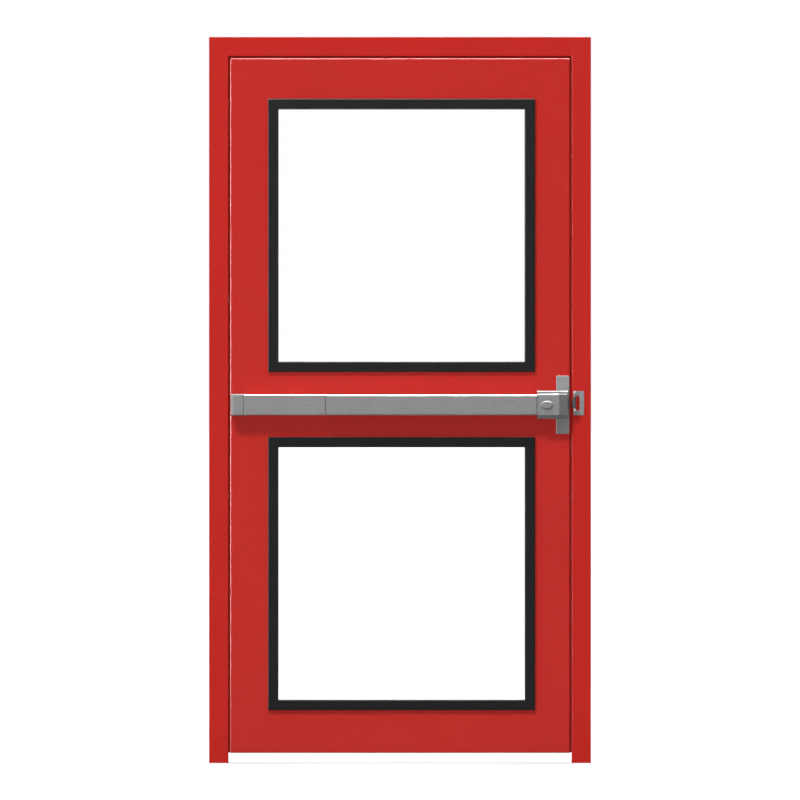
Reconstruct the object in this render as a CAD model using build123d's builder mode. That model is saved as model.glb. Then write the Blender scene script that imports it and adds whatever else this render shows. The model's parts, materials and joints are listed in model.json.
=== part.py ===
"""Steel escape door: pressed steel frame, glazed leaf opening away from the push side, and a push-pad latch.

Millimetres. X runs from the hinge jamb's wall face to the lock jamb, Y from the push side to the pull side,
Z up from the floor. The origin is on the hinge jamb's wall face, at floor level and at mid depth of the frame.
"""

from build123d import *
import os

os.makedirs("parts", exist_ok=True)

# Frame
frame_width = 1105.0
frame_height = 2100.0
frame_face = 56.0
frame_depth = 50.0
frame_wall = 2.0
frame_outer_radius = 1.0
reveal_edge_radius = 3.5
fixing_radius = 5.25
fixing_count = 4
first_fixing_height = 200.0
last_fixing_below_top = 190.0

# Leaf
door_gap = 5.0
undercut = 29.0
lip_overlap = 20.0
lip_thickness = 12.0
lip_standoff = 3.0
leaf_edge_radius = 4.0
leaf_corner_radius = 6.0

# Glazing
hinge_side_margin = 139.0
lock_side_margin = 130.0
top_margin = 147.0
bottom_margin = 153.0
window_above_device = 124.0
window_below_device = 122.0
glazing_rebate = 12.0
glass_thickness = 10.0
glass_cover = 10.0
glass_corner_radius = 2.0
bead_width = 29.0
bead_proud = 10.0
bead_leg = 11.0
bead_edge_radius = 2.5

# Compression seal
seal_width = 9.0
seal_inset = 4.0
seal_clearance = 0.3
seal_radius = 1.2

# Hinges
lower_hinge_height = 260.0
upper_hinge_below_top = 290.0
knuckle_radius = 10.0
knuckle_half = 50.0
knuckle_chamfer = 1.5
knuckle_setback = 2.0
knuckle_gap = 0.3
pin_radius = 5.0
pin_length = 40.0
pin_running_clearance = 0.05
pin_chamfer = 1.0
hinge_plate_thickness = 3.0
frame_plate_width = 27.0
leaf_plate_width = 57.0
hinge_plate_corner = 4.0

# Push-pad latch
device_height = 1036.0
slide_clearance = 0.3
end_clearance = 2.0
rail_wall = 2.0
cover_height = 60.0
cover_depth = 46.0
cover_length = 228.0
cover_edge_radius = 4.0
collar_width = 9.0
collar_height = 62.5
collar_depth = 47.0
collar_edge_radius = 5.0
end_cap_width = 36.4
end_cap_inset = 2.1
end_cap_wall = 3.0
end_cap_radius = 9.0
rail_reach_into_cap = 22.0
pad_wall = 2.5
pad_depth = 52.0
pad_travel = 12.0
pad_leaf_clearance = 6.0
pad_rail_clearance = 5.5
pad_edge_radius = 6.0
pad_end_depth = 5.0

chassis_width = 91.0
chassis_inset = 4.0
base_height = 81.0
base_depth = 12.0
base_edge_radius = 3.0
case_height = 65.0
case_depth = 56.0
case_wall = 2.5
case_flat_width = 63.5
case_slope_depth = 21.0
case_slope_run = 24.5
case_edge_radius = 5.0
slot_clearance = 0.5
cap_length = 33.0
cap_width = 23.0
cap_height = 4.0
cap_edge_radius = 2.5
cap_centre_from_end = 28.0

plate_width = 37.6
plate_height = 168.0
plate_thickness = 4.0
plate_corner_radius = 4.0
plate_inset = 2.0

latch_height = 27.5
latch_depth = 18.0
latch_length = 56.0
latch_setback = 1.0
latch_rise = 4.5
latch_nose_chamfer = 4.0
guide_wall = 3.0
guide_length = 40.0
guide_depth = 20.0

# Strike on the lock jamb
strike_width = 31.0
strike_height = 70.0
strike_thickness = 3.0
strike_inset = 4.8
strike_corner_radius = 2.0
strike_slot_width = 10.4
strike_slot_height = 42.0
strike_slot_inset = 7.8
strike_slot_radius = 3.0
strike_rise = 5.0
ear_width = 7.6
ear_length = 18.5
ear_height = 17.0
ear_edge_radius = 1.5
ramp_reach = 4.3
ramp_drop = 2.0
roller_radius = 3.0
roller_axis_height = 12.0
roller_clearance = 0.3

# Places that follow from the sizes
front = -frame_depth / 2
frame_back = frame_depth / 2
lip_front = frame_back + lip_standoff
leaf_back = lip_front + lip_thickness
leaf_left = frame_face + door_gap
leaf_right = frame_width - frame_face - door_gap
leaf_top = frame_height - frame_face - door_gap
leaf_bottom = undercut
lip_left = leaf_left - lip_overlap
lip_right = leaf_right + lip_overlap
lip_top = leaf_top + lip_overlap

sight_left = leaf_left + hinge_side_margin
sight_right = leaf_right - lock_side_margin
sight_width = sight_right - sight_left
sight_centre_x = (sight_left + sight_right) / 2
upper_sight_top = leaf_top - top_margin
upper_sight_bottom = device_height + window_above_device
lower_sight_bottom = leaf_bottom + bottom_margin
lower_sight_top = device_height - window_below_device
cutout_left = sight_left - glazing_rebate
cutout_right = sight_right + glazing_rebate
glass_centre_y = (front + leaf_back) / 2
glass_front = glass_centre_y - glass_thickness / 2
windows = {
    "upper": (upper_sight_bottom, upper_sight_top),
    "lower": (lower_sight_bottom, lower_sight_top),
}

hinge_axis_x = lip_left - knuckle_radius - knuckle_setback
hinge_axis_y = frame_back + knuckle_radius + knuckle_setback
upper_hinge_height = frame_height - upper_hinge_below_top
hinge_heights = {
    "lower": lower_hinge_height,
    "middle": (lower_hinge_height + upper_hinge_height) / 2,
    "upper": upper_hinge_height,
}
fixing_spacing = (frame_height - last_fixing_below_top - first_fixing_height) / (fixing_count - 1)

rail_height = cover_height - 2 * pad_wall - 2 * slide_clearance
rail_depth = pad_depth - pad_wall - pad_travel - pad_rail_clearance
pad_standoff = pad_travel + pad_leaf_clearance
end_cap_left = leaf_left + end_cap_inset
collar_left = end_cap_left + end_cap_width
cover_left = collar_left + collar_width
pad_left = cover_left + cover_length + end_clearance
chassis_right = leaf_right - chassis_inset
chassis_left = chassis_right - chassis_width
pad_right = chassis_left - end_clearance
rail_left = collar_left - rail_reach_into_cap
base_front = front - base_depth
case_front = front - case_depth
case_right = chassis_left + case_flat_width + case_slope_run
plate_right = leaf_right - plate_inset

latch_back = base_front - guide_wall - slide_clearance
latch_front = latch_back - latch_depth
latch_nose = leaf_right - latch_setback
latch_centre = device_height + latch_rise

strike_left = frame_width - frame_face + strike_inset
strike_front = front - strike_thickness
strike_centre = device_height + strike_rise

UPRIGHT = Plane.XZ  # seen from the push side: sketch x is X, sketch y is Z, and the normal points at the viewer


def facing(y):
    """Sketch plane parallel to the door at depth y, whose normal points at the viewer."""
    return UPRIGHT.offset(-y)


def write(piece, node):
    """Label a finished piece with its node name and write its STEP file."""
    piece.part.label = node
    export_step(piece.part, f"parts/{node}.step")


def tube_section(plane):
    """Hollow section of the frame: the face across X, the depth across Y, rounded most beside the leaf."""
    with BuildSketch(plane) as section:
        with Locations((frame_face / 2, 0)):
            Rectangle(frame_face, frame_depth)
        fillet(section.vertices().group_by(Axis.X)[0], frame_outer_radius)
        fillet(section.vertices().group_by(Axis.X)[-1], reveal_edge_radius)
        offset(amount=-frame_wall, kind=Kind.INTERSECTION, mode=Mode.SUBTRACT)
    return section.sketch


def mitre_plane(corner_x, towards_head):
    """Plane through a top corner of the frame at 45 degrees, with its normal on the head's side."""
    return Plane(origin=(corner_x, 0, frame_height), z_dir=(towards_head, 0, 1))


def fixing_holes(face_centre_x):
    """Wall fixings that pass straight through both walls of a jamb."""
    heights = [first_fixing_height + i * fixing_spacing for i in range(fixing_count)]
    with Locations(*[Location((face_centre_x, 0, z), (0, 90, 0)) for z in heights]):
        Hole(fixing_radius)


# Frame: two jambs and a head, mitred and welded at the top corners
with BuildPart() as hinge_jamb:
    extrude(tube_section(Plane.XY), amount=frame_height)
    split(bisect_by=mitre_plane(0, 1), keep=Keep.BOTTOM)
    fixing_holes(frame_face / 2)
write(hinge_jamb, "hinge_jamb")

with BuildPart() as lock_jamb:
    add(mirror(hinge_jamb.part, about=Plane.YZ.offset(frame_width / 2), mode=Mode.PRIVATE))
write(lock_jamb, "lock_jamb")

head_plane = Plane(origin=(0, 0, frame_height), x_dir=(0, 0, -1), z_dir=(1, 0, 0))
with BuildPart() as head:
    extrude(tube_section(head_plane), amount=frame_width)
    split(bisect_by=mitre_plane(0, 1), keep=Keep.TOP)
    split(bisect_by=mitre_plane(frame_width, -1), keep=Keep.TOP)
write(head, "head")


def seal_strip(plane, start, length):
    """Rubber strip on the frame's back face that the leaf's lip closes against, drawn in plan and extruded."""
    thickness = lip_standoff - seal_clearance
    with BuildSketch(plane) as section:
        with Locations((start + seal_width / 2, frame_back + thickness / 2)):
            Rectangle(seal_width, thickness)
        fillet(section.vertices().group_by(Axis.Y)[-1], seal_radius)
    extrude(section.sketch, amount=length)


seal_top = frame_height - frame_face + seal_inset + seal_width
hinge_seal_left = frame_face - seal_inset - seal_width
lock_seal_left = frame_width - frame_face + seal_inset
with BuildPart() as hinge_jamb_seal:
    seal_strip(Plane.XY, hinge_seal_left, seal_top)
write(hinge_jamb_seal, "hinge_jamb_seal")

with BuildPart() as lock_jamb_seal:
    seal_strip(Plane.XY, lock_seal_left, seal_top)
write(lock_jamb_seal, "lock_jamb_seal")

head_seal_plane = Plane(origin=(hinge_seal_left + seal_width, 0, seal_top), x_dir=(0, 0, -1), z_dir=(1, 0, 0))
with BuildPart() as head_seal:
    seal_strip(head_seal_plane, 0, lock_seal_left - hinge_seal_left - seal_width)
write(head_seal, "head_seal")


# Leaf: stiles and rails of one flush steel leaf, with a lip on the pull side that overlaps the frame
def block(x0, x1, y0, y1, z0, z1, mode=Mode.ADD):
    """Rectangular bar between two corners, drawn on its front face and extruded to its back."""
    with BuildSketch(facing(y0)) as outline:
        with Locations(((x0 + x1) / 2, (z0 + z1) / 2)):
            Rectangle(abs(x1 - x0), z1 - z0)
    extrude(outline.sketch, amount=y0 - y1, mode=mode)


def front_edges(piece, seam_x=None):
    """Edges of the face nearest the viewer, without the upright one at seam_x that meets a neighbour."""
    edges = piece.faces().sort_by(Axis.Y)[0].edges()
    if seam_x is None:
        return edges
    seam = edges.filter_by(Axis.Z).sort_by(lambda edge: abs(edge.center().X - seam_x))[0]
    return [edge for edge in edges if not edge.is_same(seam)]


def stile(piece, outer, seam, lip_outer):
    """Full-height side of the leaf: slab to the frame gap, lip out over the jamb and the head."""
    block(outer, seam, front, leaf_back, leaf_bottom, leaf_top)
    corner = piece.edges().filter_by(Axis.Y).sort_by_distance((outer, glass_centre_y, leaf_top))[0]
    fillet(corner, leaf_corner_radius)
    fillet(front_edges(piece, seam), leaf_edge_radius)
    block(lip_outer, seam, lip_front, leaf_back, leaf_bottom, lip_top)


with BuildPart() as hinge_stile:
    stile(hinge_stile, leaf_left, cutout_left, lip_left)
write(hinge_stile, "hinge_stile")

with BuildPart() as lock_stile:
    stile(lock_stile, leaf_right, cutout_right, lip_right)
write(lock_stile, "lock_stile")

with BuildPart() as top_rail:
    block(cutout_left, cutout_right, front, leaf_back, upper_sight_top + glazing_rebate, leaf_top)
    fillet(top_rail.faces().sort_by(Axis.Y)[0].edges().sort_by(Axis.Z)[-1], leaf_edge_radius)
    block(cutout_left, cutout_right, lip_front, leaf_back, upper_sight_top + glazing_rebate, lip_top)
write(top_rail, "top_rail")

with BuildPart() as mid_rail:
    block(
        cutout_left,
        cutout_right,
        front,
        leaf_back,
        lower_sight_top + glazing_rebate,
        upper_sight_bottom - glazing_rebate,
    )
write(mid_rail, "mid_rail")

with BuildPart() as bottom_rail:
    block(cutout_left, cutout_right, front, leaf_back, leaf_bottom, lower_sight_bottom - glazing_rebate)
    fillet(bottom_rail.faces().sort_by(Axis.Y)[0].edges().sort_by(Axis.Z)[0], leaf_edge_radius)
write(bottom_rail, "bottom_rail")


# Glazing: a pane in each cut-out, held between mitred beads on both sides of the leaf
def bead_bar(run):
    """One mitred bead along X, with its sight line on the X axis, growing towards +Z, on the push side."""
    with BuildPart() as bar:
        with BuildSketch(Plane.YZ.offset(-run / 2 - bead_width)) as section:
            with BuildLine():
                Polyline(
                    (front, bead_leg),
                    (glass_front, bead_leg),
                    (glass_front, 0),
                    (front - bead_proud, 0),
                    (front - bead_proud, bead_width),
                    (front, bead_width),
                    close=True,
                )
            make_face()
            fillet(section.vertices().group_by(Axis.X)[0], bead_edge_radius)
        extrude(amount=run + 2 * bead_width)
        for side in (-1, 1):
            split(bisect_by=Plane(origin=(side * run / 2, 0, 0), z_dir=(side, 0, -1)), keep=Keep.BOTTOM)
    return bar.part


def bead_pair(bar, reach, centre_z, turn):
    """Two opposite beads of a window: turn 0 gives the top and bottom ones, turn 90 the upright ones."""
    for angle in (turn, turn + 180):
        place = Location((sight_centre_x, 0, centre_z)) * Location((0, 0, 0), (0, angle, 0))
        add(bar.moved(place * Location((0, 0, reach / 2))))


for window, (sight_bottom, sight_top) in windows.items():
    sight_height = sight_top - sight_bottom
    centre_z = (sight_bottom + sight_top) / 2
    with BuildPart() as glass:
        with BuildSketch(facing(glass_front)):
            with Locations((sight_centre_x, centre_z)):
                RectangleRounded(
                    sight_width + 2 * glass_cover, sight_height + 2 * glass_cover, glass_corner_radius
                )
        extrude(amount=-glass_thickness)
    write(glass, f"{window}_glass")

    for run, reach, turn, which in (
        (sight_width, sight_height, 0, "beads_across"),
        (sight_height, sight_width, 90, "beads_upright"),
    ):
        bar = bead_bar(run)
        with BuildPart() as front_beads:
            bead_pair(bar, reach, centre_z, turn)
        write(front_beads, f"{window}_front_{which}")
        with BuildPart() as back_beads:
            add(mirror(front_beads.part, about=facing(glass_centre_y), mode=Mode.PRIVATE))
        write(back_beads, f"{window}_back_{which}")


# Lift-off hinges on the pull side: the lower half with the pin on the frame, the upper half on the leaf
def hinge_plate(z0, reach, y0):
    """Screwed plate of a hinge half from the hinge axis to its rounded free end, at depth y0."""
    with BuildSketch(facing(y0)) as outline:
        with Locations((hinge_axis_x + reach / 2, z0 + knuckle_half / 2)):
            Rectangle(abs(reach), knuckle_half)
        free_end = outline.vertices().group_by(Axis.X)[-1 if reach > 0 else 0]
        fillet(free_end, hinge_plate_corner)
    extrude(outline.sketch, amount=-hinge_plate_thickness)


def knuckle(z0):
    """Solid barrel of one hinge half on the hinge axis."""
    with BuildSketch(Plane.XY.offset(z0)) as outline:
        with Locations((hinge_axis_x, hinge_axis_y)):
            Circle(knuckle_radius)
    extrude(outline.sketch, amount=knuckle_half)


for place, centre_z in hinge_heights.items():
    lower_start = centre_z - knuckle_gap / 2 - knuckle_half
    upper_start = centre_z + knuckle_gap / 2
    with BuildPart() as frame_half:
        knuckle(lower_start)
        chamfer(frame_half.edges().filter_by(GeomType.CIRCLE).group_by(Axis.Z)[0], knuckle_chamfer)
        hinge_plate(lower_start, -frame_plate_width, frame_back)
        with BuildSketch(Plane.XY.offset(lower_start + knuckle_half)):
            with Locations((hinge_axis_x, hinge_axis_y)):
                Circle(pin_radius)
        extrude(amount=pin_length)
        chamfer(frame_half.edges().filter_by(GeomType.CIRCLE).group_by(Axis.Z)[-1], pin_chamfer)
    write(frame_half, f"{place}_hinge_frame_half")

    with BuildPart() as leaf_half:
        knuckle(upper_start)
        chamfer(leaf_half.edges().filter_by(GeomType.CIRCLE).group_by(Axis.Z)[-1], knuckle_chamfer)
        hinge_plate(upper_start, leaf_plate_width, leaf_back)
        with BuildSketch(Plane.XY.offset(upper_start)):
            with Locations((hinge_axis_x, hinge_axis_y)):
                Circle(pin_radius + pin_running_clearance)
        extrude(amount=pin_length + pin_chamfer, mode=Mode.SUBTRACT)
    write(leaf_half, f"{place}_hinge_leaf_half")


# Push-pad latch: channel rail along the leaf, with fixed covers and a pad that slides in over it
def channel(x0, x1, height, depth, wall, edge_radius, back=front):
    """U-shaped cover open towards the leaf, with rounded long edges, from the plane y = back outwards."""
    with BuildSketch(Plane.YZ.offset(x0)) as section:
        with Locations(((front - depth + back) / 2, device_height)):
            Rectangle(back - front + depth, height)
        fillet(section.vertices().group_by(Axis.X)[0], edge_radius)
        with Locations(((front - depth + wall + back) / 2, device_height)):
            Rectangle(back - front + depth - wall, height - 2 * wall, mode=Mode.SUBTRACT)
    extrude(section.sketch, amount=x1 - x0)


with BuildPart() as rail_channel:
    with BuildSketch(Plane.YZ.offset(rail_left)):
        with Locations((front - rail_depth / 2, device_height)):
            Rectangle(rail_depth, rail_height)
        with Locations((front - (rail_depth + rail_wall) / 2, device_height)):
            Rectangle(rail_depth - rail_wall, rail_height - 2 * rail_wall, mode=Mode.SUBTRACT)
    extrude(amount=chassis_left - rail_left)
write(rail_channel, "rail_channel")

with BuildPart() as rail_cover:
    channel(
        cover_left,
        cover_left + cover_length,
        cover_height,
        cover_depth,
        (cover_height - rail_height) / 2,
        cover_edge_radius,
    )
write(rail_cover, "rail_cover")

with BuildPart() as rail_collar:
    channel(
        collar_left,
        cover_left,
        collar_height,
        collar_depth,
        (collar_height - rail_height) / 2,
        collar_edge_radius,
    )
write(rail_collar, "rail_collar")

with BuildPart() as end_cap:
    with BuildSketch(facing(front)):
        with Locations(((end_cap_left + collar_left) / 2, device_height)):
            Rectangle(end_cap_width, collar_height)
    extrude(amount=collar_depth)
    fillet(end_cap.faces().sort_by(Axis.X)[0].edges().sort_by(Axis.Y)[0], end_cap_radius)
    fillet(end_cap.faces().sort_by(Axis.Y)[0].edges().filter_by(Axis.X), collar_edge_radius)
    with BuildSketch(facing(front)):
        with Locations(((end_cap_left + end_cap_wall + collar_left) / 2, device_height)):
            Rectangle(end_cap_width - end_cap_wall, collar_height - 2 * end_cap_wall)
    extrude(amount=rail_depth + end_cap_wall, mode=Mode.SUBTRACT)
write(end_cap, "end_cap")

with BuildPart() as push_pad:
    channel(pad_left, pad_right, cover_height, pad_depth, pad_wall, pad_edge_radius, back=front - pad_standoff)
    for x in (pad_left, pad_right - pad_wall):
        with BuildSketch(Plane.YZ.offset(x)):
            with Locations((front - pad_depth + (pad_wall + pad_end_depth) / 2, device_height)):
                Rectangle(pad_end_depth - pad_wall, cover_height - 2 * pad_wall)
        extrude(amount=pad_wall)
write(push_pad, "push_pad")

# Chassis at the lock edge: plate, base, sliding latch in its guide, case and cap
with BuildPart() as mounting_plate:
    with BuildSketch(facing(front)):
        with Locations((plate_right - plate_width / 2, device_height)):
            RectangleRounded(plate_width, plate_height, plate_corner_radius)
    extrude(amount=plate_thickness)
    fillet(mounting_plate.faces().sort_by(Axis.Y)[0].edges(), plate_thickness / 4)
write(mounting_plate, "mounting_plate")

with BuildPart() as chassis_base:
    base_bottom = device_height - base_height / 2
    base_top = device_height + base_height / 2
    block(chassis_left, chassis_right, base_front, front, base_bottom, base_top)
    fillet(front_edges(chassis_base, chassis_left), base_edge_radius)
    block(
        plate_right - plate_width,
        plate_right,
        front - plate_thickness,
        front,
        base_bottom,
        base_top,
        mode=Mode.SUBTRACT,
    )
write(chassis_base, "chassis_base")

with BuildPart() as latch_guide:
    guide_right = case_right - case_wall - end_clearance
    with BuildSketch(Plane.YZ.offset(guide_right - guide_length)):
        with Locations((base_front - guide_depth / 2, latch_centre)):
            Rectangle(guide_depth, latch_height + 2 * slide_clearance + 2 * guide_wall)
        with Locations((base_front - (guide_depth + guide_wall) / 2, latch_centre)):
            Rectangle(
                guide_depth - guide_wall, latch_height + 2 * slide_clearance, mode=Mode.SUBTRACT
            )
    extrude(amount=guide_length)
write(latch_guide, "latch_guide")

with BuildPart() as latch_bolt:
    with BuildSketch(Plane.XY.offset(latch_centre - latch_height / 2)) as outline:
        with Locations((latch_nose - latch_length / 2, (latch_front + latch_back) / 2)):
            Rectangle(latch_length, latch_depth)
        nose = outline.vertices().sort_by_distance((latch_nose, latch_front))[0]
        chamfer(nose, latch_nose_chamfer)
    extrude(amount=latch_height)
write(latch_bolt, "latch_bolt")

with BuildPart() as chassis_case:
    with BuildSketch(Plane.XY.offset(device_height - case_height / 2)):
        with BuildLine():
            Polyline(
                (chassis_left, base_front),
                (chassis_left, case_front),
                (chassis_left + case_flat_width, case_front),
                (case_right, case_front + case_slope_depth),
                (case_right, base_front),
                close=True,
            )
        make_face()
    extrude(amount=case_height)
    rims = [
        edge
        for edge in chassis_case.faces().filter_by(Axis.Z).edges()
        if edge.center().Y < base_front - case_wall and edge.center().X > chassis_left + case_wall
    ]
    fillet(rims, case_edge_radius)
    offset(amount=-case_wall, openings=chassis_case.faces().sort_by(Axis.Y)[-1])
    with BuildSketch(Plane.YZ.offset(case_right)):
        with Locations(((latch_front + latch_back) / 2, latch_centre)):
            Rectangle(latch_depth + 2 * slot_clearance, latch_height + 2 * slot_clearance)
    extrude(amount=-2 * case_wall, mode=Mode.SUBTRACT)
write(chassis_case, "chassis_case")

with BuildPart() as chassis_cap:
    with BuildSketch(facing(case_front)):
        with Locations((chassis_left + cap_centre_from_end, device_height)):
            Ellipse(cap_length / 2, cap_width / 2)
    extrude(amount=cap_height)
    fillet(chassis_cap.faces().sort_by(Axis.Y)[0].edges(), cap_edge_radius)
write(chassis_cap, "chassis_cap")

# Strike: slotted plate with two ears that hold a roller, and a ramp towards the leaf
with BuildPart() as strike_plate:
    with BuildSketch(facing(front)):
        with Locations((strike_left + strike_width / 2, strike_centre)):
            RectangleRounded(strike_width, strike_height, strike_corner_radius)
        with Locations((strike_left + strike_slot_inset + strike_slot_width / 2, strike_centre)):
            RectangleRounded(
                strike_slot_width, strike_slot_height, strike_slot_radius, mode=Mode.SUBTRACT
            )
    extrude(amount=strike_thickness)
    for side in (-1, 1):
        ear_centre = strike_centre + side * (strike_height - ear_length) / 2
        with BuildSketch(facing(strike_front)) as ear_outline:
            with Locations((strike_left + ear_width / 2, ear_centre)):
                Rectangle(ear_width, ear_length)
        ear = extrude(ear_outline.sketch, amount=ear_height)
        fillet(ear.faces().sort_by(Axis.Y)[0].edges(), ear_edge_radius)
write(strike_plate, "strike_plate")

with BuildPart() as strike_ramp:
    with BuildSketch(Plane.XY.offset(latch_centre - latch_height / 2)):
        with BuildLine():
            Polyline(
                (strike_left, front),
                (strike_left, strike_front),
                (strike_left - ramp_reach, strike_front + ramp_drop),
                (strike_left - ramp_reach, front),
                close=True,
            )
        make_face()
    extrude(amount=latch_height)
write(strike_ramp, "strike_ramp")

with BuildPart() as strike_roller:
    roller_length = strike_height - 2 * ear_length - 2 * roller_clearance
    with BuildSketch(Plane.XY.offset(strike_centre - roller_length / 2)):
        with Locations((strike_left + ear_width / 2, strike_front - roller_axis_height)):
            Circle(roller_radius)
    extrude(amount=roller_length)
write(strike_roller, "strike_roller")
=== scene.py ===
"""Looks of the steel escape door: finishes, small fasteners, glazing gaskets, studio and camera.

Metres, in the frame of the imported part: X from the hinge jamb to the lock jamb, -Y towards the
push side, Z up.
"""

import json
import math

import bmesh
import bpy
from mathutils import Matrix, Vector

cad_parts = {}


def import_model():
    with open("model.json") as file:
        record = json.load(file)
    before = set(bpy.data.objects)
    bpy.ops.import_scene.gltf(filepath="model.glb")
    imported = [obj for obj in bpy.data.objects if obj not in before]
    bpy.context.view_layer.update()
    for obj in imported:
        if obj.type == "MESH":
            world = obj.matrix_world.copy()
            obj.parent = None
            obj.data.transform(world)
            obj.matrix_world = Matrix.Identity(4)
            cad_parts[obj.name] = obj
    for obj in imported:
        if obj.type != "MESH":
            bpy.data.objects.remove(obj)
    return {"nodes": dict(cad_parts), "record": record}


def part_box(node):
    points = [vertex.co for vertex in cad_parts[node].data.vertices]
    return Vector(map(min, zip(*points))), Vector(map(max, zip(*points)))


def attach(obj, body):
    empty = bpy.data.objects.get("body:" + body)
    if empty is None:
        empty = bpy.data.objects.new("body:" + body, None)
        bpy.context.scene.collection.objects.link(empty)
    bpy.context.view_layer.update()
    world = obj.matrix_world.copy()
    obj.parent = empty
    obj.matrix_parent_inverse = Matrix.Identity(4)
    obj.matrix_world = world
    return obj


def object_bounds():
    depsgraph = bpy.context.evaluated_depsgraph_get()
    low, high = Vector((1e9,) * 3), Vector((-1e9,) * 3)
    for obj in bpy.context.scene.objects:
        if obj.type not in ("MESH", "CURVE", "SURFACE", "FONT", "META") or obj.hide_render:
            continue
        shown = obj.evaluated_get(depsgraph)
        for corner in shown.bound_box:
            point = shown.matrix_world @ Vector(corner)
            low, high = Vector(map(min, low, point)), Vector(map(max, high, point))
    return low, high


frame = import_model()
cad_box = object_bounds()

MM = 0.001

# Photograph: 800 pixels a side, of which the door is 726 high
PHOTO_SIDE = 800
DOOR_PIXELS = 726
PHOTO_CENTRE_ABOVE_FLOOR = 363
LENS = 600.0
SENSOR = 36.0

# Colours, linear
RED = (0.530, 0.0215, 0.0165)
BEAD_BLACK = (0.0150, 0.0150, 0.0150)
RUBBER_BLACK = (0.012, 0.012, 0.012)
SILVER = (0.334, 0.331, 0.328)
CASE_GREY = (0.194, 0.194, 0.196)
PLATE_GREY = (0.232, 0.237, 0.232)
PLASTIC_GREY = (0.204, 0.206, 0.204)
DARK_STEEL = (0.130, 0.128, 0.126)
ZINC = (0.178, 0.178, 0.186)
HINGE_STEEL = (0.270, 0.267, 0.261)
GLASS_TINT = (0.998, 1.0, 0.999)
WHITE = (1.0, 1.0, 1.0)

# What most of a noise texture's values lie between
NOISE_REACH = (0.3, 0.7)

# Studio, in metres
FLOOR_REACH = 400.0
FLOOR_BOUNCE = (0.25, 0.25, 0.25)
FLOOR_SHADE = (0.50, 0.50, 0.50)
FLOOR_GLOW_NEAR = 2.0
FLOOR_GLOW_FAR = 6.0
FLOOR_GLOW = 0.48
GLOSS_AFTER_MATT = 0.25
CAMERA_RANGE = 1000.0

# Small pieces, in millimetres like the part's own dimensions
TURN_STEPS = 24
REVEAL_FACES = ((56.0, 1.0), (1049.0, -1.0))
FIXING_HEIGHTS = (200.0, 770.0, 1340.0, 1910.0)
ANCHOR_HEAD_RADIUS = 8.0
ANCHOR_HEAD_PROUD = 0.8
HINGE_LEAF_FACE = 43.0
HINGE_FRAME_FACE = 28.0
HINGE_SCREW_RADIUS = 4.2
HINGE_SCREW_PROUD = 0.4
HINGE_SCREW_END = 13.0
LEAF_HALF_SCREWS = (12.0, 30.0)
FRAME_HALF_SCREW = 10.0
EAR_SCREWS = ((1058.0, -45.0, 1068.2), (1058.0, -45.0, 1016.7))
EAR_SCREW_RADIUS = 2.9
FLANGE_SCREWS = ((1077.5, -28.0, 1041.3), (1070.6, -28.0, 1070.8), (1070.6, -28.0, 1013.8))
FLANGE_SCREW_RADIUS = 2.3
FLANGE_SCREW_PROUD = 0.3
SIGHT_SIDES = (200.0, 914.0)
SIGHT_HEIGHTS = ((182.0, 914.0), (1160.0, 1892.0))
GLASS_FACES = ((2.5, -1.0), (12.5, 1.0))
LIP_WIDTH = 1.0
LIP_DEPTH = 2.0
# Black band of painted shade in the joint between the bar's end cap and collar
SEAM_WIDTH = 1.6
SEAM_PROUD = 0.15
SEAM_RADIUS = 5.0
SEAM_STEPS = 6


# Node helpers
def ranged(nodes, links, value, start, end, low, high, smooth=False):
    """Value between start and end, turned into one between low and high."""
    node = nodes.new("ShaderNodeMapRange")
    if smooth:
        node.interpolation_type = "SMOOTHSTEP"
    sockets = ("From Min", "From Max", "To Min", "To Max")
    for socket, number in zip(sockets, (start, end, low, high)):
        node.inputs[socket].default_value = number
    links.new(value, node.inputs["Value"])
    return node.outputs["Result"]


def tinted(colour, share):
    """The colour, lighter or darker by a share of itself."""
    return tuple(channel * (1 + share) for channel in colour)


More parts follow.
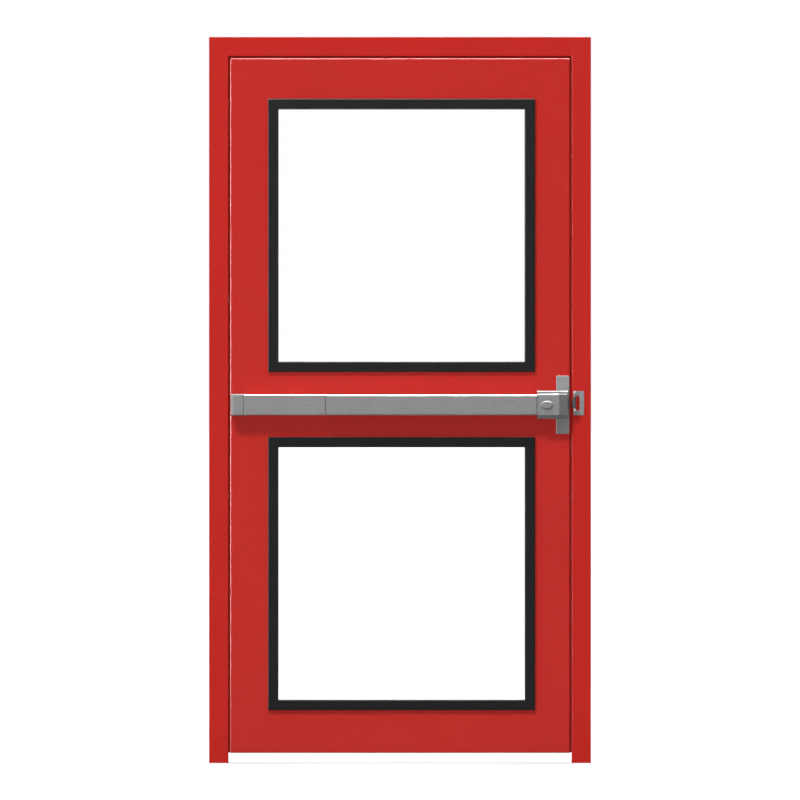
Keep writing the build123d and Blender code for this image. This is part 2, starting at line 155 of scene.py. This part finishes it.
class Shade:
    """A new node material with its Principled shader and short ways to add texture nodes."""

    def __init__(self, name):
        self.material = bpy.data.materials.new(name)
        self.material.use_nodes = True
        self.nodes = self.material.node_tree.nodes
        self.links = self.material.node_tree.links
        self.shader = self.nodes["Principled BSDF"]
        self.place = self.nodes.new("ShaderNodeTexCoord").outputs["Object"]

    def set(self, **sockets):
        """Plain numbers and colours on the shader's own sockets."""
        for name, value in sockets.items():
            socket = self.shader.inputs[name.replace("_", " ").title().replace("Ior", "IOR")]
            socket.default_value = (*value, 1.0) if isinstance(value, tuple) else value

    def noise(self, size, stretch=(1, 1, 1), detail=2.0, shift=0.0):
        """Noise with features of that size in metres, drawn out along each axis by stretch."""
        mapping = self.nodes.new("ShaderNodeMapping")
        mapping.inputs["Location"].default_value = (shift, shift, shift)
        mapping.inputs["Scale"].default_value = [1 / (size * s) for s in stretch]
        self.links.new(self.place, mapping.inputs["Vector"])
        noise = self.nodes.new("ShaderNodeTexNoise")
        noise.inputs["Scale"].default_value = 1.0
        noise.inputs["Detail"].default_value = detail
        self.links.new(mapping.outputs["Vector"], noise.inputs["Vector"])
        return noise.outputs["Fac"]

    def spread(self, noise, low, high):
        """The noise's usual values, spread out between low and high."""
        return ranged(self.nodes, self.links, noise, *NOISE_REACH, low, high)

    def colour(self, value, colour, darker, lighter):
        """Base colour that goes with value from a share darker to a share lighter."""
        node = self.nodes.new("ShaderNodeMix")
        node.data_type = "RGBA"
        self.links.new(value, node.inputs["Factor"])
        node.inputs[6].default_value = (*tinted(colour, -darker), 1.0)
        node.inputs[7].default_value = (*tinted(colour, lighter), 1.0)
        self.drive("Base Color", node.outputs[2])

    def bumps(self, *layers):
        """Relief on the shader's normal: one (value, depth in metres) over another."""
        normal = None
        for value, depth in layers:
            node = self.nodes.new("ShaderNodeBump")
            node.inputs["Distance"].default_value = depth
            self.links.new(value, node.inputs["Height"])
            if normal is not None:
                self.links.new(normal, node.inputs["Normal"])
            normal = node.outputs["Normal"]
        self.drive("Normal", normal)

    def drive(self, socket, value):
        """A value from texture nodes on a socket of the shader."""
        self.links.new(value, self.shader.inputs[socket])


# Finishes
def red_paint(name, lacquer):
    """Gloss enamel on folded steel: orange peel, slow waves in the sheet, changes of shade."""
    paint = Shade(name)
    cloud = paint.noise(0.45, detail=3.0)
    paint.colour(cloud, RED, 0.05, 0.05)
    paint.drive("Roughness", paint.spread(paint.noise(0.03, detail=4.0, shift=3.0), 0.28, 0.36))
    peel = paint.noise(0.006)
    wave = paint.noise(0.28, detail=1.0, shift=7.0)
    paint.bumps((wave, 0.0003), (peel, 0.000003))
    paint.set(specular_ior_level=0.05, coat_weight=lacquer, coat_roughness=0.16, coat_ior=1.45)
    return paint.material


def bead_paint(name):
    """Satin black powder coat with its fine pebbled grain."""
    coat = Shade(name)
    cloud = coat.noise(0.12, detail=3.0)
    coat.colour(cloud, BEAD_BLACK, 0.12, 0.15)
    grain = coat.noise(0.0012, detail=3.0)
    coat.drive("Roughness", coat.spread(grain, 0.30, 0.42))
    coat.bumps((grain, 0.00004))
    coat.set(specular_ior_level=0.06)
    return coat.material


def rubber(name):
    """Matt black seal rubber, drawn along its length."""
    seal = Shade(name)
    draw = seal.noise(0.0015, stretch=(1, 1, 60), detail=2.0)
    seal.colour(draw, RUBBER_BLACK, 0.2, 0.3)
    seal.drive("Roughness", seal.spread(seal.noise(0.004), 0.66, 0.82))
    seal.bumps((draw, 0.00006))
    seal.set(specular_ior_level=0.3)
    return seal.material


def satin_metal(name, colour, metallic, rough, along=(40, 1, 1), grain_depth=0.000012):
    """Satin or brushed metal: fine lines along one axis, slow changes of tone and of sheen."""
    metal = Shade(name)
    lines = metal.noise(0.0004, stretch=along, detail=2.0)
    cloud = metal.noise(0.09, detail=3.0, shift=2.0)
    metal.colour(cloud, colour, 0.04, 0.04)
    metal.drive("Roughness", metal.spread(lines, rough - 0.01, rough + 0.02))
    metal.bumps((lines, grain_depth))
    metal.set(metallic=metallic, specular_ior_level=0.5)
    return metal.material


def case_paint(name, colour):
    """Silver-grey stoved paint of the latch case: metallic fleck and a light orange peel."""
    paint = Shade(name)
    fleck = paint.noise(0.0009, detail=4.0)
    cloud = paint.noise(0.08, detail=2.0, shift=5.0)
    paint.colour(cloud, colour, 0.04, 0.04)
    paint.drive("Roughness", paint.spread(fleck, 0.36, 0.50))
    paint.bumps((paint.noise(0.002, shift=1.0), 0.00001), (fleck, 0.000006))
    paint.set(metallic=0.12, specular_ior_level=0.5, coat_weight=0.15, coat_roughness=0.25)
    return paint.material


def moulded_plastic(name):
    """Grey moulded nylon with a fine spark-eroded grain."""
    plastic = Shade(name)
    grain = plastic.noise(0.0008, detail=3.0)
    cloud = plastic.noise(0.05, shift=4.0)
    plastic.colour(cloud, PLASTIC_GREY, 0.04, 0.04)
    plastic.drive("Roughness", plastic.spread(grain, 0.60, 0.72))
    plastic.bumps((grain, 0.00003))
    plastic.set(specular_ior_level=0.2)
    return plastic.material


def window_glass(name):
    """Clear laminated glass, with the faint roll distortion of real panes."""
    glass = Shade(name)
    roll = glass.noise(0.35, detail=1.0)
    glass.bumps((roll, 0.00012))
    glass.drive("Roughness", glass.spread(glass.noise(0.06, detail=3.0, shift=6.0), 0.0, 0.012))
    glass.set(base_color=GLASS_TINT, transmission_weight=1.0, ior=1.12)
    return glass.material


MATERIALS = {
    "frame_paint": red_paint("frame_paint", 0.08),
    "leaf_paint": red_paint("leaf_paint", 0.7),
    "bead_black": bead_paint("bead_black"),
    "clear_glass": window_glass("clear_glass"),
    "seal_rubber": rubber("seal_rubber"),
    "hinge_steel": satin_metal("hinge_steel", HINGE_STEEL, 0.35, 0.5, along=(1, 1, 20)),
    "satin_cover": satin_metal("satin_cover", SILVER, 0.45, 0.28, grain_depth=0.0000015),
    "grey_plastic": moulded_plastic("grey_plastic"),
    "grey_case": case_paint("grey_case", CASE_GREY),
    "latch_steel": satin_metal("latch_steel", DARK_STEEL, 0.7, 0.34, along=(20, 1, 1)),
    "strike_grey": satin_metal("strike_grey", ZINC, 0.15, 0.52, along=(1, 1, 20)),
}


def dress_nodes():
    """Gives every CAD node the material of its slot, and the mounting plate a paler paint."""
    for part in frame["record"]["subparts"]:
        slots = frame["nodes"][part["node"]].data.materials
        slots.clear()
        slots.append(MATERIALS[part["material_slot"]])
    frame["nodes"]["mounting_plate"].data.materials[0] = case_paint("plate_paint", PLATE_GREY)


def clear_panes():
    """The panes cast no shadow, so that the light passes through them."""
    for pane in ("upper_glass", "lower_glass"):
        frame["nodes"][pane].visible_shadow = False


# Small pieces
def turned(mesh, centre, axis, outline):
    """A turned form on a surface: each (radius, height, six_sided) is a ring about the axis."""
    turn = Vector(axis).to_track_quat("Z", "Y")
    rows = []
    for radius, height, six_sided in outline:
        row = []
        for step in range(TURN_STEPS):
            angle = 2 * math.pi * step / TURN_STEPS
            reach = radius
            if six_sided:
                reach *= math.cos(math.pi / 6) / math.cos(angle % (math.pi / 3) - math.pi / 6)
            point = turn @ Vector((reach * math.cos(angle), reach * math.sin(angle), height))
            row.append(mesh.verts.new((Vector(centre) + point) * MM))
        rows.append(row)
    for low, high in zip(rows, rows[1:]):
        for step in range(TURN_STEPS):
            after = (step + 1) % TURN_STEPS
            mesh.faces.new((low[step], low[after], high[after], high[step]))
    mesh.faces.new(rows[0][::-1])
    mesh.faces.new(rows[-1])


def pan_screw(mesh, centre, axis, radius):
    """Low domed head with a hexagon socket."""
    rise = radius * 0.5
    turned(mesh, centre, axis, (
        (radius, 0.0, False),
        (radius, rise * 0.3, False),
        (radius * 0.9, rise * 0.75, False),
        (radius * 0.68, rise, False),
        (radius * 0.42, rise, True),
        (radius * 0.38, rise * 0.2, True),
    ))


def flush_screw(mesh, centre, axis, radius, proud):
    """Countersunk head, a little proud of its surface, with a hexagon socket."""
    turned(mesh, centre, axis, (
        (radius, 0.0, False),
        (radius, proud * 0.5, False),
        (radius * 0.94, proud, False),
        (radius * 0.45, proud, True),
        (radius * 0.40, proud * 0.1, True),
    ))


def box_between(mesh, low, high):
    """An upright box from its lowest to its highest corner."""
    corners = [
        mesh.verts.new(Vector((x, y, z)) * MM)
        for x in (low[0], high[0])
        for y in (low[1], high[1])
        for z in (low[2], high[2])
    ]
    sides = ((0, 1, 3, 2), (4, 6, 7, 5), (0, 4, 5, 1), (2, 3, 7, 6), (0, 2, 6, 4), (1, 5, 7, 3))
    for side in sides:
        mesh.faces.new([corners[number] for number in side])


def piece(name, body, slot, mesh):
    """Puts a finished mesh into the scene, on a body, with the finish of that slot."""
    bmesh.ops.recalc_face_normals(mesh, faces=mesh.faces)
    data = bpy.data.meshes.new(name)
    mesh.to_mesh(data)
    mesh.free()
    data.materials.append(MATERIALS[slot])
    thing = bpy.data.objects.new(name, data)
    bpy.context.scene.collection.objects.link(thing)
    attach(thing, body)


def strike_screws():
    """Pan screws on the strike's ears, dark countersunk ones in its plate."""
    mesh = bmesh.new()
    for place in EAR_SCREWS:
        pan_screw(mesh, place, (0, -1, 0), EAR_SCREW_RADIUS)
    piece("strike_ear_screws", "frame", "strike_grey", mesh)
    mesh = bmesh.new()
    for place in FLANGE_SCREWS:
        flush_screw(mesh, place, (0, -1, 0), FLANGE_SCREW_RADIUS, FLANGE_SCREW_PROUD)
    piece("strike_plate_screws", "frame", "latch_steel", mesh)


def hinge_screws():
    """Countersunk screws in the six hinge plates."""
    on_leaf = bmesh.new()
    on_frame = bmesh.new()
    size = (HINGE_SCREW_RADIUS, HINGE_SCREW_PROUD)
    for place in ("lower", "middle", "upper"):
        low, high = (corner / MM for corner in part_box(f"{place}_hinge_leaf_half"))
        for z in (low.z + HINGE_SCREW_END, high.z - HINGE_SCREW_END):
            for inset in LEAF_HALF_SCREWS:
                flush_screw(on_leaf, (high.x - inset, HINGE_LEAF_FACE, z), (0, 1, 0), *size)
        low, high = (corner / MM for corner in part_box(f"{place}_hinge_frame_half"))
        for z in (low.z + HINGE_SCREW_END, high.z - HINGE_SCREW_END):
            flush_screw(on_frame, (low.x + FRAME_HALF_SCREW, HINGE_FRAME_FACE, z), (0, 1, 0), *size)
    piece("hinge_leaf_screws", "leaf", "hinge_steel", on_leaf)
    piece("hinge_frame_screws", "frame", "hinge_steel", on_frame)


def anchor_heads():
    """Flat heads of the frame's anchors, in the jambs' reveals."""
    mesh = bmesh.new()
    for x, side in REVEAL_FACES:
        for z in FIXING_HEIGHTS:
            flush_screw(mesh, (x, 0.0, z), (side, 0, 0), ANCHOR_HEAD_RADIUS, ANCHOR_HEAD_PROUD)
    piece("anchor_heads", "frame", "hinge_steel", mesh)


def glazing_lips():
    """Thin rubber lips between the beads and the glass, round each pane on both faces."""
    mesh = bmesh.new()
    left, right = SIGHT_SIDES
    for face, outward in GLASS_FACES:
        near, far = sorted((face, face + outward * LIP_DEPTH))
        for bottom, top in SIGHT_HEIGHTS:
            box_between(mesh, (left, near, bottom), (left + LIP_WIDTH, far, top))
            box_between(mesh, (right - LIP_WIDTH, near, bottom), (right, far, top))
            for z in (bottom, top - LIP_WIDTH):
                corner = (right - LIP_WIDTH, far, z + LIP_WIDTH)
                box_between(mesh, (left + LIP_WIDTH, near, z), corner)
    piece("glazing_lips", "leaf", "seal_rubber", mesh)


def end_cap_shade_band():
    """Thin black band round the bar where its end cap meets the collar: painted shade of the gap
    between them.
    """
    low, high = (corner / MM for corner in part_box("rail_collar"))
    front = low.y - SEAM_PROUD
    bottom = low.z - SEAM_PROUD
    top = high.z + SEAM_PROUD
    line = [(high.y, bottom), (high.y, top)]
    for z, turn in ((top - SEAM_RADIUS, 0), (bottom + SEAM_RADIUS, 1)):
        for step in range(SEAM_STEPS + 1):
            angle = math.pi / 2 * (turn + step / SEAM_STEPS)
            y = front + SEAM_RADIUS - SEAM_RADIUS * math.sin(angle)
            line.append((y, z + SEAM_RADIUS * math.cos(angle)))
    mesh = bmesh.new()
    ends = [
        [mesh.verts.new(Vector((x, y, z)) * MM) for y, z in line]
        for x in (low.x, low.x + SEAM_WIDTH)
    ]
    mesh.faces.new(ends[0])
    mesh.faces.new(ends[1][::-1])
    for step in range(len(line)):
        after = (step + 1) % len(line)
        mesh.faces.new((ends[0][step], ends[1][step], ends[1][after], ends[0][after]))
    # Black rubber band that paints the shade in the joint between end cap and collar
    piece("end_cap_shade_band", "leaf", "seal_rubber", mesh)


# Studio
def floor():
    """Pale floor that keeps the door's shadow round its feet and turns into the white backdrop."""
    mesh = bpy.data.meshes.new("floor")
    signs = ((-1, -1), (1, -1), (1, 1), (-1, 1))
    corners = [(x * FLOOR_REACH, y * FLOOR_REACH, 0.0) for x, y in signs]
    mesh.from_pydata(corners, [], [(0, 1, 2, 3)])
    plane = bpy.data.objects.new("floor", mesh)
    bpy.context.scene.collection.objects.link(plane)
    material = bpy.data.materials.new("floor")
    material.use_nodes = True
    nodes = material.node_tree.nodes
    links = material.node_tree.links
    nodes.clear()
    seen = seen_ray(nodes, links)
    bounce = nodes.new("ShaderNodeBsdfDiffuse")
    bounce.inputs["Color"].default_value = (*FLOOR_BOUNCE, 1.0)
    shown = nodes.new("ShaderNodeBsdfDiffuse")
    shown.inputs["Color"].default_value = (*FLOOR_SHADE, 1.0)
    glow = nodes.new("ShaderNodeEmission")
    away = nodes.new("ShaderNodeVectorMath")
    away.operation = "DISTANCE"
    away.inputs[1].default_value = ((cad_box[0].x + cad_box[1].x) / 2, 0.0, 0.0)
    links.new(nodes.new("ShaderNodeTexCoord").outputs["Object"], away.inputs[0])
    distance = away.outputs["Value"]
    fade = ranged(nodes, links, distance, FLOOR_GLOW_NEAR, FLOOR_GLOW_FAR, FLOOR_GLOW, 1.0)
    links.new(fade, glow.inputs["Strength"])
    lifted = nodes.new("ShaderNodeAddShader")
    links.new(shown.outputs[0], lifted.inputs[0])
    links.new(glow.outputs[0], lifted.inputs[1])
    mix = nodes.new("ShaderNodeMixShader")
    links.new(seen, mix.inputs[0])
    links.new(bounce.outputs[0], mix.inputs[1])
    links.new(lifted.outputs[0], mix.inputs[2])
    links.new(mix.outputs[0], nodes.new("ShaderNodeOutputMaterial").inputs["Surface"])
    mesh.materials.append(material)


def seen_ray(nodes, links):
    """1 for a ray that shows the background to the camera, straight or through the glass."""
    path = nodes.new("ShaderNodeLightPath")
    either = nodes.new("ShaderNodeMath")
    either.operation = "MAXIMUM"
    links.new(path.outputs["Is Camera Ray"], either.inputs[0])
    links.new(path.outputs["Is Transmission Ray"], either.inputs[1])
    return either.outputs[0]


def world():
    """White behind the object, and for the light a soft room, brightest above and behind."""
    sky = bpy.data.worlds.new("studio")
    bpy.context.scene.world = sky
    sky.use_nodes = True
    nodes = sky.node_tree.nodes
    links = sky.node_tree.links
    nodes.clear()
    direction = nodes.new("ShaderNodeTexCoord").outputs["Generated"]

    def glow(towards, start, end, low, high):
        """Brightness that grows from low to high as the direction turns towards a side."""
        facing = nodes.new("ShaderNodeVectorMath")
        facing.operation = "DOT_PRODUCT"
        facing.inputs[1].default_value = Vector(towards).normalized()
        links.new(direction, facing.inputs[0])
        return ranged(nodes, links, facing.outputs["Value"], start, end, low, high, smooth=True)

    both = nodes.new("ShaderNodeMath")
    links.new(glow((-0.5, 0.0, 0.86), -0.1, 0.9, 0.12, 0.62), both.inputs[0])
    links.new(glow((0.0, 1.0, 0.0), 0.1, 0.9, 0.0, 0.55), both.inputs[1])
    room = nodes.new("ShaderNodeBackground")
    links.new(both.outputs[0], room.inputs["Strength"])
    white = nodes.new("ShaderNodeBackground")
    mix = nodes.new("ShaderNodeMixShader")
    links.new(seen_ray(nodes, links), mix.inputs[0])
    links.new(room.outputs[0], mix.inputs[1])
    white.inputs["Color"].default_value = (*WHITE, 1.0)
    links.new(white.outputs[0], mix.inputs[2])
    links.new(mix.outputs[0], nodes.new("ShaderNodeOutputWorld").inputs["Surface"])


def softbox(name, offset, width, height, power, gloss_only=False, matt_only=False):
    """Lamp at an offset from the door's middle, turned to it, for all or some reflections."""
    middle = (cad_box[0] + cad_box[1]) / 2
    lamp = bpy.data.lights.new(name, "AREA")
    lamp.shape = "RECTANGLE"
    lamp.size = width
    lamp.size_y = height
    lamp.energy = power
    stand = bpy.data.objects.new(name, lamp)
    stand.location = middle + Vector(offset)
    stand.rotation_euler = (-Vector(offset)).to_track_quat("-Z", "Y").to_euler()
    stand.visible_glossy = not matt_only
    if gloss_only:
        stand.visible_diffuse = False
        mirrored_once(lamp)
    bpy.context.scene.collection.objects.link(stand)


def mirrored_once(lamp):
    """Full strength in a glossy edge, and less for light that has met a matt surface."""
    lamp.use_nodes = True
    nodes = lamp.node_tree.nodes
    links = lamp.node_tree.links
    depth = nodes.new("ShaderNodeLightPath").outputs["Diffuse Depth"]
    fade = ranged(nodes, links, depth, 0.0, 1.0, 1.0, GLOSS_AFTER_MATT)
    links.new(fade, nodes["Emission"].inputs["Strength"])


def lights():
    """Key at the upper left, fill from the camera, two above and behind, two for the edges."""
    softbox("key", (-4.2, -8.4, 11.0), 1.8, 1.8, 1290.0)
    softbox("fill", (0.0, -34.0, 0.3), 1.0, 1.0, 3600.0, matt_only=True)
    softbox("overhead", (0.0, 1.2, 5.0), 4.0, 1.0, 200.0)
    softbox("behind", (3.0, 7.0, 5.0), 4.0, 4.0, 420.0)
    softbox("overhead_gloss", (0.0, -1.3, 5.0), 9.0, 4.2, 5000.0, gloss_only=True)
    softbox("left_gloss", (-6.0, -1.6, 0.0), 4.2, 5.0, 2600.0, gloss_only=True)


def camera():
    """Straight on at the photograph's framing, so far back that the view is nearly flat."""
    metres_per_pixel = (cad_box[1].z - cad_box[0].z) / DOOR_PIXELS
    view_width = PHOTO_SIDE * metres_per_pixel
    data = bpy.data.cameras.new("camera")
    data.lens = LENS
    data.sensor_width = SENSOR
    data.clip_end = CAMERA_RANGE
    eye = bpy.data.objects.new("camera", data)
    jamb_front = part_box("hinge_jamb")[0].y
    centre_x = (cad_box[0].x + cad_box[1].x) / 2
    centre_z = PHOTO_CENTRE_ABOVE_FLOOR * metres_per_pixel
    eye.location = (centre_x, jamb_front - view_width * LENS / SENSOR, centre_z)
    eye.rotation_euler = (math.radians(90), 0, 0)
    bpy.context.scene.collection.objects.link(eye)
    bpy.context.scene.camera = eye


camera()
world()
lights()
floor()
dress_nodes()
clear_panes()
strike_screws()
hinge_screws()
anchor_heads()
glazing_lips()
end_cap_shade_band()

bpy.context.scene.view_settings.view_transform = "Standard"
